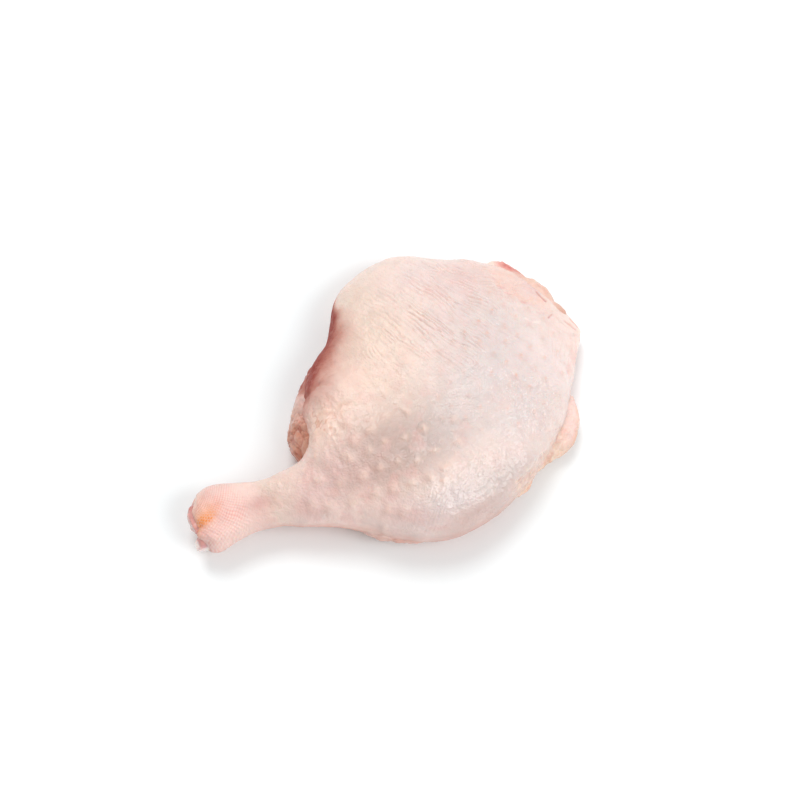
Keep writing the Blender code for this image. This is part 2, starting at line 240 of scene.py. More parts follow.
# Where the skin ends over the fat along the outer edge of the thigh.
FAT_LINE = [(62.0, -43.0), (59.0, -44.6), (50.5, -49.0),
            (43.5, -51.6), (36.5, -54.6), (28.5, -58.0)]


def srgb(r, g, b):
    """A colour of 0 to 255 as linear light."""
    c = np.array([r, g, b], dtype=float) / 255.0
    return np.where(c <= 0.04045, c / 12.92, ((c + 0.055) / 1.055) ** 2.4)


# ------------------------------------------------------------ maths helpers
def through(rows, place):
    """A smooth curve through every row, read at the given places."""
    table = np.array(rows, dtype=float)
    padded = np.vstack([2 * table[0] - table[1], table, 2 * table[-1] - table[-2]])
    start = np.clip(place.astype(int), 0, len(table) - 2)
    t = (place - start)[:, None]
    a, b, c, d = (padded[start + k] for k in range(4))
    return 0.5 * (2 * b + (c - a) * t + (2 * a - 5 * b + 4 * c - d) * t ** 2
                  + (3 * b - a - 3 * c + d) * t ** 3)


def smooth(low, high, value):
    """Rises from 0 at low to 1 at high."""
    t = np.clip((value - low) / (high - low), 0.0, 1.0)
    return t * t * (3 - 2 * t)


def turned(x, y, degrees):
    """How far along and across a direction in plan."""
    a = math.radians(degrees)
    return x * math.cos(a) + y * math.sin(a), y * math.cos(a) - x * math.sin(a)


def corner(ix, iy, iz, seed):
    """A fixed number of -1 to 1 for each corner of the noise's cells."""
    mixed = (ix * 374761393 + iy * 668265263 + iz * 1440662683
             + seed * 974634777) & 0xFFFFFFFF
    mixed = ((mixed ^ (mixed >> 13)) * 1274126177) & 0xFFFFFFFF
    return (mixed ^ (mixed >> 16)) / 2147483647.5 - 1.0


def noise(p, seed):
    """Smooth noise of -1 to 1 with cells of one unit."""
    base = np.floor(p).astype(np.int64)
    f = p - base
    f = f * f * f * (f * (f * 6 - 15) + 10)
    total = np.zeros(p.shape[:-1])
    for dx in (0, 1):
        wx = f[..., 0] if dx else 1 - f[..., 0]
        for dy in (0, 1):
            wy = f[..., 1] if dy else 1 - f[..., 1]
            for dz in (0, 1):
                wz = f[..., 2] if dz else 1 - f[..., 2]
                total += wx * wy * wz * corner(base[..., 0] + dx, base[..., 1] + dy,
                                               base[..., 2] + dz, seed)
    return total


def cloud(p, cell, seed, octaves=3):
    """Layered noise whose largest cells have the given size in millimetres."""
    total = np.zeros(p.shape[:-1])
    turned = np.stack([0.8 * p[..., 0] - 0.6 * p[..., 1],
                       0.6 * p[..., 0] + 0.8 * p[..., 1], p[..., 2]], axis=-1)
    for octave in range(octaves):
        total += noise(turned * 2 ** octave / cell, seed + octave) / 2 ** octave
    return total


def warped(p, cell, amount, seed):
    """The points shaken by smooth noise, so that what follows runs unevenly."""
    shift = [noise(p / cell + 7.3 * k, seed + 11 * k) for k in range(3)]
    return p + amount * np.stack(shift, axis=-1)


def swell(places, x, y):
    rise = np.zeros_like(x)
    for cx, cy, along, across, height in places:
        rise += height * np.exp(-((x - cx) / along) ** 2 - ((y - cy) / across) ** 2)
    return rise


def away_from(line, x, y):
    """Distance to a polyline in plan, side (positive on its left), place on it."""
    best = np.full(x.shape, 1e9)
    side = np.zeros(x.shape)
    place = np.zeros(x.shape)
    for k, ((x0, y0), (x1, y1)) in enumerate(zip(line[:-1], line[1:])):
        dx, dy = x1 - x0, y1 - y0
        t = np.clip(((x - x0) * dx + (y - y0) * dy) / (dx * dx + dy * dy), 0, 1)
        gap = np.hypot(x - x0 - t * dx, y - y0 - t * dy)
        nearer = gap < best
        best = np.where(nearer, gap, best)
        side = np.where(nearer, np.sign(dx * (y - y0) - dy * (x - x0)), side)
        place = np.where(nearer, (k + t) / (len(line) - 1), place)
    return best, side, place


# ------------------------------------------------------------- lofted grids
def even(curve, count, closed_end):
    """Points at even distances along each curve of an array (rows, n, k)."""
    step = np.linalg.norm(np.diff(curve[..., :3], axis=1), axis=2)
    run = np.concatenate([np.zeros((len(curve), 1)), np.cumsum(step, axis=1)], axis=1)
    out = np.empty((len(curve), count, curve.shape[2]))
    for r, (length, row) in enumerate(zip(run, curve)):
        want = np.linspace(0, length[-1], count + (0 if closed_end else 1))[:count]
        for k in range(curve.shape[2]):
            out[r, :, k] = np.interp(want, length, row[:, k])
    return out


def loft(ribs, place, top, under, swelling):
    """Grid of points (rows, around, 3) and each column's place across."""
    table = through(ribs, place)
    ox, oy, ix, iy, crown, where, outer_z, inner_z, low = (c[:, None] for c in table.T)
    turn = np.linspace(0, np.pi, 361)[None]
    across = ((1 - np.cos(turn)) / 2) ** (np.log(where) / np.log(0.5))
    x = ox + (ix - ox) * across
    y = oy + (iy - oy) * across
    base = outer_z + (inner_z - outer_z) * across
    z = base + (crown - base) * np.sin(turn) ** TOP_FULLNESS
    z = z + swelling * swell(SWELLS, x, y) * np.sin(turn)
    upper = even(np.stack([x, y, z, across + 0 * z], axis=-1), top, False)
    across = (1 + np.cos(turn)) / 2
    x = ox + (ix - ox) * across
    y = oy + (iy - oy) * across
    base = outer_z + (inner_z - outer_z) * across
    z = base + (low - base) * np.sin(turn) ** UNDER_FULLNESS
    z = z + swelling * swell(UNDER_SWELLS, x, y) * np.sin(turn)
    lower = even(np.stack([x, y, z, across + 0 * z], axis=-1), under, False)
    grid = np.concatenate([upper, lower], axis=1)
    side = np.concatenate([np.ones(top), -np.ones(under)])[None] * np.ones((len(grid), 1))
    return grid[..., :3], grid[..., 3], side


def run_of(ribs):
    """Places along a rib table, with the distance run and the middle at each."""
    place = np.linspace(0, len(ribs) - 1, 1500)
    table = through(ribs, place)
    middle = (table[:, 0:2] + table[:, 2:4]) / 2
    step = np.hypot(*np.diff(middle, axis=0).T)
    return place, np.concatenate([[0], np.cumsum(step)]), middle


def even_places(ribs, rows):
    place, run = run_of(ribs)[:2]
    return np.interp(np.linspace(0, run[-1], rows), run, place)


def normals_of(grid):
    along = np.gradient(grid, axis=0)
    around = np.roll(grid, -1, axis=1) - np.roll(grid, 1, axis=1)
    normal = np.cross(along, around)
    length = np.linalg.norm(normal, axis=-1, keepdims=True)
    return normal / np.maximum(length, 1e-9)


def tinted(tone, mask, colour):
    return tone + (colour - tone) * np.clip(mask, 0, 1)[..., None]


def layered(tone, layers):
    """The tone with each (mask, colour) laid over it in turn."""
    for mask, colour in layers:
        tone = tinted(tone, mask, srgb(*colour))
    return tone


def bell(value, width):
    """1 where the value is 0, falling off within the width."""
    return np.exp(-(value / width) ** 2)


def spot(x, y, cx, cy, rx, ry, turn=0.0):
    """A soft oval: 1 at its centre, about a third at its reach."""
    u, v = turned(x - cx, y - cy, turn)
    return np.exp(-(u / rx) ** 2 - (v / ry) ** 2)


# --------------------------------------------------------------- mesh maker
def make_piece(name, grid, fields, material, cap_first=False, cap_last=False,
               normals=None):
    """One closed-around mesh from a grid, with per-point fields."""
    rows, around = grid.shape[:2]
    points = grid.reshape(-1, 3)
    index = np.arange(rows * around).reshape(rows, around)
    right = np.roll(index, -1, axis=1)
    faces = np.stack([index[:-1], index[1:], right[1:], right[:-1]], axis=-1).reshape(-1, 4)
    faces = [tuple(int(v) for v in f) for f in faces]
    extra = []
    for wanted, ring, flip in ((cap_first, index[0], False), (cap_last, index[-1], True)):
        if wanted:
            hub = rows * around + len(extra)
            extra.append(points[ring].mean(axis=0))
            for k in range(around):
                a, b = int(ring[k]), int(ring[(k + 1) % around])
                faces.append((b, a, hub) if flip else (a, b, hub))
    if extra:
        points = np.vstack([points, extra])
    world = (points - MIDDLE) * MM
    mesh = bpy.data.meshes.new(name)
    mesh.from_pydata(world.tolist(), [], faces)
    mesh.polygons.foreach_set("use_smooth", [True] * len(mesh.polygons))
    for label, values in fields.items():
        flat = values.reshape(rows * around, -1)
        if extra:
            hubs = [flat[r * around:(r + 1) * around].mean(axis=0)
                    for want, r in ((cap_first, 0), (cap_last, rows - 1)) if want]
            flat = np.vstack([flat, hubs])
        if flat.shape[1] == 3:
            layer = mesh.attributes.new(label, "FLOAT_COLOR", "POINT")
            layer.data.foreach_set("color", np.hstack([flat, np.ones((len(flat), 1))]).ravel())
        else:
            layer = mesh.attributes.new(label, "FLOAT", "POINT")
            layer.data.foreach_set("value", flat.ravel())
    mesh.materials.append(material)
    mesh.update()
    if normals is not None:
        mesh.normals_split_custom_set_from_vertices(normals.reshape(-1, 3).tolist())
    piece = bpy.data.objects.new(name, mesh)
    bpy.context.scene.collection.objects.link(piece)
    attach(piece, "root")
    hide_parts("duck_leg")
    return piece


# ---------------------------------------------------------------- materials
def node(tree, kind, **values):
    made = tree.nodes.new(kind)
    for key, value in values.items():
        setattr(made, key, value)
    return made


def noise_texture(tree, vector, scale, detail, distortion=0.0):
    made = node(tree, "ShaderNodeTexNoise")
    made.inputs["Scale"].default_value = scale
    made.inputs["Detail"].default_value = detail
    made.inputs["Distortion"].default_value = distortion
    tree.links.new(vector, made.inputs["Vector"])
    return made.outputs["Fac"]


def ranged(tree, value, given, wanted=(0.0, 1.0)):
    """The value's given range stretched to the wanted one."""
    made = node(tree, "ShaderNodeMapRange")
    for end, number in zip(("From Min", "From Max", "To Min", "To Max"), given + wanted):
        made.inputs[end].default_value = number
    tree.links.new(value, made.inputs["Value"])
    return made.outputs["Result"]


def worked_out(tree, operation, *terms, **values):
    """A Math node on the given terms, each a socket or a plain number."""
    made = node(tree, "ShaderNodeMath", operation=operation, **values)
    for socket, term in zip(made.inputs, terms):
        if isinstance(term, float):
            socket.default_value = term
        else:
            tree.links.new(term, socket)
    return made.outputs[0]


# Noise cells in each metre of surface.
BLOTCH_SCALE = 260.0
FLECK_SCALE = 620.0
FILM_SCALE = 420.0
FOLD_SCALE = 620.0
FOLD_WAY = -64.0                           # direction of the crisp folds, degrees
FOLD_DEPTH = 6.5                           # against the height of the pores
RIPPLE_DEPTH = 1.6
FILM_UNEVEN = 0.35                         # how much the wet film varies
COAT_MOST = 0.90


def tone_nodes(tree, place, mottle):
    """The mesh's own tint, mottled and with warm and cool flecks."""
    tone = node(tree, "ShaderNodeAttribute", attribute_name="tone")
    blotch = noise_texture(tree, place, BLOTCH_SCALE, 4.0)
    shade = ranged(tree, blotch, (0.30, 0.70), (1.0 - mottle, 1.0 + mottle))
    flecks = noise_texture(tree, place, FLECK_SCALE, 3.0)
    hue = node(tree, "ShaderNodeMix", data_type="RGBA")
    hue.inputs["A"].default_value = (1.006, 0.992, 0.990, 1.0)
    hue.inputs["B"].default_value = (0.997, 1.003, 1.002, 1.0)
    tree.links.new(ranged(tree, flecks, (0.35, 0.65)), hue.inputs["Factor"])
    shifted = node(tree, "ShaderNodeVectorMath", operation="MULTIPLY")
    tree.links.new(tone.outputs["Color"], shifted.inputs[0])
    tree.links.new(hue.outputs["Result"], shifted.inputs[1])
    tint = node(tree, "ShaderNodeVectorMath", operation="SCALE")
    tree.links.new(shifted.outputs["Vector"], tint.inputs[0])
    tree.links.new(shade, tint.inputs["Scale"])
    return tint.outputs["Vector"]


def height_nodes(tree, place, grain):
    """Pores and ripples, with crisp folds where the mesh says so."""
    pores = noise_texture(tree, place, grain, 3.0)
    ripples = noise_texture(tree, place, 0.45 * grain, 2.0)
    heights = worked_out(tree, "MULTIPLY_ADD", ripples, RIPPLE_DEPTH, pores)
    turned = node(tree, "ShaderNodeMapping", vector_type="TEXTURE")
    turned.inputs["Rotation"].default_value[2] = math.radians(FOLD_WAY)
    turned.inputs["Scale"].default_value = (4.5, 1.0, 2.0)
    tree.links.new(place, turned.inputs["Vector"])
    folds = noise_texture(tree, turned.outputs["Vector"], FOLD_SCALE, 2.0, 0.4)
    crimp = node(tree, "ShaderNodeAttribute", attribute_name="crimp")
    valleys = worked_out(tree, "SUBTRACT", folds, 0.5)
    sharp = worked_out(tree, "ABSOLUTE", valleys)
    crimped = worked_out(tree, "MULTIPLY", sharp, crimp.outputs["Fac"])
    return worked_out(tree, "MULTIPLY_ADD", crimped, FOLD_DEPTH, heights)


def moist_material(name, dry_rough, wet_rough, coat_rough, mottle, grain, relief):
    """Moist tissue: tint from the mesh, fine mottling, wet film, fine grain."""
    material = bpy.data.materials.new(name)
    material.use_nodes = True
    tree = material.node_tree
    shader = tree.nodes["Principled BSDF"]
    place = node(tree, "ShaderNodeTexCoord").outputs["Object"]
    tree.links.new(tone_nodes(tree, place, mottle), shader.inputs["Base Color"])

    wet = node(tree, "ShaderNodeAttribute", attribute_name="wet").outputs["Fac"]
    film = noise_texture(tree, place, FILM_SCALE, 3.0)
    uneven = worked_out(tree, "MULTIPLY_ADD", film, FILM_UNEVEN, wet)
    lowered = worked_out(tree, "SUBTRACT", uneven, 0.17)
    rough = ranged(tree, lowered, (0.0, 1.0), (dry_rough, wet_rough))
    tree.links.new(rough, shader.inputs["Roughness"])
    coat = worked_out(tree, "MULTIPLY", lowered, COAT_MOST, use_clamp=True)
    tree.links.new(coat, shader.inputs["Coat Weight"])

    bump = node(tree, "ShaderNodeBump")
    bump.inputs["Strength"].default_value = relief
    bump.inputs["Distance"].default_value = 0.0004
    tree.links.new(height_nodes(tree, place, grain), bump.inputs["Height"])
    tree.links.new(bump.outputs["Normal"], shader.inputs["Normal"])
    tree.links.new(bump.outputs["Normal"], shader.inputs["Coat Normal"])

    shader.inputs["Coat Roughness"].default_value = coat_rough
    shader.inputs["IOR"].default_value = 1.38
    shader.inputs["Specular IOR Level"].default_value = 0.40
    shader.inputs["Subsurface Weight"].default_value = 0.20
    shader.inputs["Subsurface Radius"].default_value = (1.0, 0.35, 0.22)
    shader.inputs["Subsurface Scale"].default_value = 0.0030
    return material


SKIN = moist_material("duck_skin", dry_rough=0.56, wet_rough=0.24, coat_rough=0.13,
                      mottle=0.035, grain=1300.0, relief=0.55)
FLESH = moist_material("duck_flesh", dry_rough=0.58, wet_rough=0.28, coat_rough=0.16,
                       mottle=0.10, grain=900.0, relief=0.45)
GRISTLE = moist_material("duck_gristle", dry_rough=0.45, wet_rough=0.18, coat_rough=0.10,
                         mottle=0.05, grain=1200.0, relief=0.30)


# ------------------------------------------------------------- skin relief
def follicle_lattice():
    """The regular rows of follicles: x, y and a number of 0 to 1 each."""
    random = np.random.default_rng(7)
    found = []
    for j in range(-14, 15):
        for i in range(-12, 13):
            u = (i + 0.5 * (j % 2)) * FOLLICLE_ACROSS
            v = 0.5 * j * FOLLICLE_UP
            du, dv, luck = random.normal(0, 0.75), random.normal(0, 0.75), random.random()
            x, y = turned(u + du, v + dv, -FOLLICLE_TURN)
            found.append((FOLLICLE_START[0] + x, FOLLICLE_START[1] + y, luck))
    return found


def wrinkle_field(p, angle, spacing, length, seed):
    """Long uneven folds: height of 0 to 1, and how strong they are."""
    along, across = turned(p[..., 0], p[..., 1], angle)
    q = np.stack([along / length, across / (2.5 * spacing), p[..., 2] / 9.0], axis=-1)
    phase = across / spacing + 0.9 * noise(q, seed) + 0.22 * noise(p / 2.6, seed + 1)
    strong = 0.2 + 0.8 * smooth(-0.55, 0.35, noise(1.3 * q + 5.0, seed + 2))
    return np.abs(np.sin(np.pi * phase)) ** 0.7, strong


def skin_relief(p, top):
    """Height to add on the skin side, with masks for its tint, for painted shade in the fold
    valleys and for painted shadows beside the bumps.
    """
    x, y = p[..., 0], p[..., 1]
    body = smooth(-66.0, -54.0, x)
    h = 0.55 * cloud(p, 13.0, 1, 2) + 0.16 * cloud(p, 4.5, 5, 2) * (0.4 + 0.6 * body)
    h += 0.05 * cloud(p, 1.6, 9, 2) * body
    painted_fold_shade = np.zeros_like(x)
    for k, (cx, cy, rx, ry, angle, spacing, length, rise) in enumerate(WRINKLES):
        reach = spot(x, y, cx, cy, rx, ry)
        crest, strong = wrinkle_field(p, angle, spacing, length, 60 + 4 * k)
        h += rise * reach * strong * (crest - 0.6)
        # Painted shade in the valleys between the folds.
        painted_fold_shade += 1.6 * rise * reach * strong * smooth(0.65, 0.10, crest)
    for k, (cx, cy, rx, ry, cell, rise) in enumerate(CRUMPLES):
        reach = spot(x, y, cx, cy, rx, ry)
        fold = 1.0 - 2.2 * np.abs(noise(p / cell + 3.0, 130 + k))
        h += rise * reach * (0.6 * fold + 0.6 * noise(p / (2 * cell), 150 + k))
    bump_tint = np.zeros_like(x)
    dot_tint = np.zeros_like(x)
    painted_bump_shadow = np.zeros_like(x)
    wobble = 0.18 * noise(p / 1.5, 30)
    for k, (cx, cy, radius, rise) in enumerate(BUMPS):
        near = (np.abs(x - cx) < 6) & (np.abs(y - cy) < 6) & top
        lean = math.degrees(1.1 + 0.9 * math.sin(3.7 * k))
        u, v = turned(x[near] - cx, y[near] - cy, lean)
        r = np.hypot(u * 0.88, v * 1.10) / (1.25 * radius) + wobble[near]
        h[near] += 0.90 * rise * (np.exp(-r ** 2) - 0.12 * bell(r - 1.7, 0.7))
        bump_tint[near] += (0.40 + 0.6 * rise) * bell(r, 0.85)
        # Painted shadow to the left of each bump.
        off = np.hypot(x[near] - cx + 1.9, y[near] - cy + 0.2) / radius
        painted_bump_shadow[near] += 0.50 * bell(off, 1.0)
    for cx, cy, luck in follicle_lattice():
        if cx < -62 or abs(cy) > 66:
            continue
        calf = spot(cx, cy, -8, -22, 26, 20)
        if calf > 0.45 and any(math.hypot(cx - b[0], cy - b[1]) < 5.5 for b in BUMPS):
            continue
        far = spot(cx, cy, 62, -2, 30, 34)
        rise = 0.10 + 0.34 * calf + 0.14 * far
        radius = 0.95 + 0.55 * calf
        near = (np.abs(x - cx) < 6) & (np.abs(y - cy) < 6) & top
        r = np.hypot(x[near] - cx, y[near] - cy) / radius
        h[near] += rise * (0.5 + luck) * np.exp(-r ** 2)
        bump_tint[near] += 0.8 * calf * np.exp(-r ** 2)
        dot_tint[near] += (0.20 + 0.80 * far) * (0.35 + 0.75 * luck) * bell(r, 0.75)
        # Painted shadow trailing from each follicle.
        u = 0.9 * (x[near] - cx) + 0.45 * (y[near] - cy) + 1.3
        v = -0.45 * (x[near] - cx) + 0.9 * (y[near] - cy) + 0.6
        painted_bump_shadow[near] += (0.5 * far + 0.35 * calf) * np.exp(-(u / 0.9) ** 2 - (v / 2.0) ** 2)
    return h, bump_tint, dot_tint, painted_bump_shadow, painted_fold_shade


def scale_relief(p):
    """Rows of fine scales round the hock, and where they lie."""
    x, y = p[..., 0] - SCALE_HUB[0], p[..., 1] - SCALE_HUB[1]
    warp = 0.35 * noise(p / 5.0, 200)
    radius = np.hypot(x, y) + warp
    angle = np.degrees(np.arctan2(-y, x)) + 1.2 * noise(p / 6.0, 201)
    rings = np.cos(2 * np.pi * radius / SCALE_PITCH)
    spokes = np.cos(2 * np.pi * angle / SCALE_ANGLE)
    reach = 29.0 + 11.0 * smooth(18.0, 48.0, angle)
    band = smooth(12.5, 17.5, radius) * (1 - smooth(reach - 5.0, reach + 3.0, radius))
    ring_part = band * (1 - 0.40 * smooth(40.0, 80.0, angle))
    spoke_part = band * smooth(26.0, 44.0, angle) * smooth(13.0, 18.0, radius)
    relief = 0.055 * ring_part * rings + 0.055 * spoke_part * spokes
    groove = (ring_part * smooth(-0.1, -1.0, rings) * 0.8
              + spoke_part * smooth(-0.1, -1.0, spokes) * 0.8)
    crown = band * smooth(0.0, 1.0, rings) * (0.4 + 0.6 * smooth(0.0, 1.0, spokes))
    return relief, groove, crown, radius, angle, band


def rings_of_dots(radius, angle):
    """High on each scale, low between them; every other ring is shifted."""
    shift = np.pi * np.round(radius / SCALE_PITCH)
    return (0.5 * np.cos(2 * np.pi * radius / SCALE_PITCH)
            + 0.5 * np.cos(2 * np.pi * angle / (1.4 * SCALE_ANGLE) + shift))


# The skin's tones, by what lies under it and partly painted light and shade: some rows lighten
# low sides, others darken the dips and the lower edge.
BASE_SKIN = (239, 213, 202)
CREAM_FAT = (230, 206, 190)
# Pale fat; on the low sides of the calf and hock it is painted light.
PALE_FAT_AND_PAINTED_LIGHT = (250, 222, 212)
PALE_SKIN = (230, 212, 208)
PINK_SKIN = (222, 188, 184)
# Grey skin; in the dip between calf and thigh and along the lower edge it is partly painted
# shade.
GREY_SKIN = (212, 200, 198)
SHADED_SKIN = (198, 184, 180)
MAUVE_SKIN = (198, 164, 156)
# Dark meat under thin skin, with painted shade on top.
DARK_MEAT_AND_PAINTED_SHADE = (168, 144, 134)

# Where they lie: centre, half length, half width, turn in degrees, tone, strength.
SKIN_TINTS = [
    (20, 30, 40, 34, 0, CREAM_FAT, 0.90),
    (16, 46, 16, 16, 0, CREAM_FAT, 0.80),
    (44, 46, 22, 16, 0, PALE_SKIN, 0.80),
    (2, 10, 22, 16, 0, CREAM_FAT, 0.60),
    (58, 34, 16, 12, 0, PINK_SKIN, 0.70),
    (45, 14, 22, 20, 0, PALE_SKIN, 0.80),
    (62, 4, 26, 26, 0, GREY_SKIN, 0.90),
    (74, -16, 16, 20, 0, PALE_SKIN, 0.80),
    (38, -12, 22, 16, 0, GREY_SKIN, 0.80),
    # Painted shade in the dip between calf and thigh, over the dark meat under thin skin: this
    # row and the next.
    (15, -24, 18, 14, 0, SHADED_SKIN, 0.90),
    (-6, -22, 20, 18, 0, DARK_MEAT_AND_PAINTED_SHADE, 0.90),
    (-26, -24, 18, 14, 0, MAUVE_SKIN, 0.85),
    # Painted light on the low side of the calf.
    (-33, -35, 18, 8, -25, PALE_FAT_AND_PAINTED_LIGHT, 0.85),
    (-44, -22, 14, 12, 0, PINK_SKIN, 0.80),
    (-59, -12, 12, 12, 0, CREAM_FAT, 0.80),
    (-60, -13, 6, 5, 0, MAUVE_SKIN, 0.50),
    (-26, 8, 9, 9, 0, PALE_FAT_AND_PAINTED_LIGHT, 0.85),
    (-20, 14, 8, 6, 0, MAUVE_SKIN, 0.60),
    (50, -32, 22, 16, 0, GREY_SKIN, 0.85),
    # Painted shade along the lower edge, where the skin turns away from the light: this row and
    # the next.
    (10, -52, 26, 10, 0, GREY_SKIN, 0.80),
    (18, -60, 26, 4, 6, MAUVE_SKIN, 0.75),
    (-12, -50, 16, 5, -28, PINK_SKIN, 0.50),
    (-86, -17, 6, 4, 0, PALE_FAT_AND_PAINTED_LIGHT, 0.70),
    # Painted shade along the lower edge.
    (36, -52, 18, 8, 0, SHADED_SKIN, 0.80),
]


def meat_side(p, top, edge_gap):
    """Where the meat is bare, the fatty lip round it, and the meat's fibres."""
    x, y, z = np.moveaxis(p, -1, 0)
    lip_out = 15.0 + 4.0 * noise(p / 9.0, 300) + 2.0 * noise(p / 3.5, 301)
    lip_in = 6.0 + 3.0 * noise(p / 8.0, 302) + 1.5 * noise(p / 3.0, 303)
    inside = np.minimum(edge_gap[0] - lip_out, edge_gap[1] - lip_in)
    inside = np.minimum(inside, (x + 46.0 + 5.0 * noise(p / 6.0, 304)) * 0.6)
    inside = np.where(top, -9.0, inside)
    meat = smooth(-0.6, 0.9, inside)
    fibre_way = np.stack([x / 14.0, (y + 0.25 * x) / 1.1, z / 2.0], axis=-1)
    fibres = noise(fibre_way, 310) + 0.5 * noise(fibre_way * 2.1, 311)
    return meat, smooth(-4.5, -1.0, inside) * (1 - meat), fibres


def fat_seam(p, meat):
    """Fat showing past the skin along the outer edge of the thigh."""
    gap, side, place = away_from(FAT_LINE, p[..., 0], p[..., 1])
    gap = gap * side + 0.8 * noise(p / 2.4, 325)
    bare = smooth(-2.0, 2.2, gap) * smooth(0.0, 0.22, place)
    bare *= (1 - smooth(0.80, 1.0, place)) * np.where(meat > 0.5, 0.0, 1.0)
    lip = 0.15 * bell(gap + 0.9, 1.2) * smooth(0.02, 0.12, place) * (gap < 3)
    return bare, lip, cloud(p, 3.0, 326, 3)


def far_flap(p, upper):
    """The thin flap beyond its seam, the step down to it, and the seam's line."""
    x, y = p[..., 0], p[..., 1]
    seam, side, _ = away_from(FLAP_SEAM, x, y)
    beyond = smooth(-1.2, 1.6, seam * side * upper + 0.9 * noise(p / 1.8, 320))
    step = 0.55 * beyond * np.exp(-seam / 6.0) * upper * spot(x, y, 76, 18, 16, 16)
    line = bell(seam, 0.9) * upper * smooth(-0.1, 0.7, noise(p / 2.6, 321))
    return beyond, step, line


def crease_masks(p, normal, upper):
    """One mask for each row of CREASES."""
    waver = (0.75 + 0.4 * noise(p / 2.0, 328)) * upper * smooth(0.02, 0.30, normal[..., 2])
    gaps = [away_from(row[0], p[..., 0], p[..., 1])[0] for row in CREASES]
    return [bell(gap, row[1]) * waver for gap, row in zip(gaps, CREASES)]


def red_band(p):
    """How far a point is from the dark flesh inside the knee, and its tissue."""
    x, y, z = np.moveaxis(p, -1, 0)
    red, _, place = away_from(RED_SIDE, x, y)
    q = warped(p, 5.0, 2.0, 371)
    lens = smooth(0.0, 0.55, place) * (1 + 0.30 * smooth(0.5, 0.75, place))
    crest = 15.0 + 6.0 * lens
    inward = np.hypot(np.maximum(red - 1.5, 0.0), 0.95 * np.maximum(z - crest, 0.0))
    red = np.hypot(inward / (0.20 + 0.80 * lens), 0.24 * np.maximum(crest - z, 0.0))
    red = red + 9.0 * (1 - smooth(0.0, 0.28, place)) + 1.5 * cloud(q, 5.5, 372, 3)
    slant = [(q[..., 0] - q[..., 1]) / 5.0, z / 1.3, (q[..., 0] + q[..., 1]) / 2.0]
    return np.maximum(red, 0.0), noise(np.stack(slant, axis=-1), 374)


def base_tone(p):
    """The skin's broad tones, a little uneven."""
    tone = np.ones(p.shape) * srgb(*BASE_SKIN)
    patch = 0.75 + 0.5 * cloud(p, 9.0, 330, 2)
    for cx, cy, rx, ry, turn, colour, strength in SKIN_TINTS:
        mask = spot(p[..., 0], p[..., 1], cx, cy, rx, ry, turn) * strength
        tone = tinted(tone, mask * (0.8 + 0.2 * patch), srgb(*colour))
    tone *= (1 + 0.022 * cloud(p, 5.0, 340, 3))[..., None]
    tone[..., 1] *= 1 - 0.008 * cloud(p, 7.0, 350, 2)
    return tone


def red_layers(red, tissue):
    """Thin skin stretched over dark flesh along the inside of the knee, darkest on the steep
    side below its crest, partly as painted shade.
    """
    return [
        (0.55 * bell(red, 13.5), (224, 176, 162)),
        (0.88 * bell(red, 9.2), (194, 112, 92)),
        ((0.93 + 0.06 * tissue) * bell(red, 6.6), (140, 34, 18)),
        (0.22 * bell(red, 10.0) * smooth(0.25, 0.75, tissue), (216, 156, 140)),
    ]


def flap_layers(p, flap, seam_line):
    """Peach fat on the far flap, beyond its seam, with grey-purple painted shade beside a
    pocket.
    """
    return [
        (0.65 * flap, (230, 198, 188)),
        (0.50 * flap * smooth(-0.2, 0.8, cloud(p, 4.0, 322, 2)), (230, 188, 170)),
        # Grey-purple painted shade beside the pocket.
        (0.40 * flap * spot(p[..., 0], p[..., 1], 85, 22, 4, 5), (214, 190, 196)),
        (0.45 * seam_line, (222, 160, 154)),
    ]


def pad_layers(p, normal):
    """The tan, veined fold of skin by the knee."""
    facing = smooth(0.25, 0.60, normal[..., 2])
    tan = spot(p[..., 0], p[..., 1], -26, 4, 9, 9) * smooth(0.0, 0.5, facing)
    veins = np.abs(cloud(warped(p, 4.0, 1.6, 375), 4.5, 370, 3))
    return [
        (0.35 * tan, (228, 186, 158)),
        (0.65 * tan * smooth(0.16, 0.0, veins), (200, 142, 114)),
        (0.15 * tan * smooth(0.3, 0.8, veins), (244, 214, 190)),
    ]


def seam_layers(p, bare, fatty):
    """Lumpy fat with pale strands."""
    x, y, z = np.moveaxis(p, -1, 0)
    slant = np.stack([(x + y) / 1.3, (x - y) / 4.0, z / 1.6], axis=-1)
    strands = noise(warped(slant, 2.0, 0.6, 330), 327)
    return [
        (0.7 * bare, (228, 196, 182)),
        (0.55 * bare * smooth(0.2, -0.8, fatty), (212, 166, 150)),
        (0.4 * bare * smooth(0.10, 0.8, strands), (240, 218, 188)),
    ]


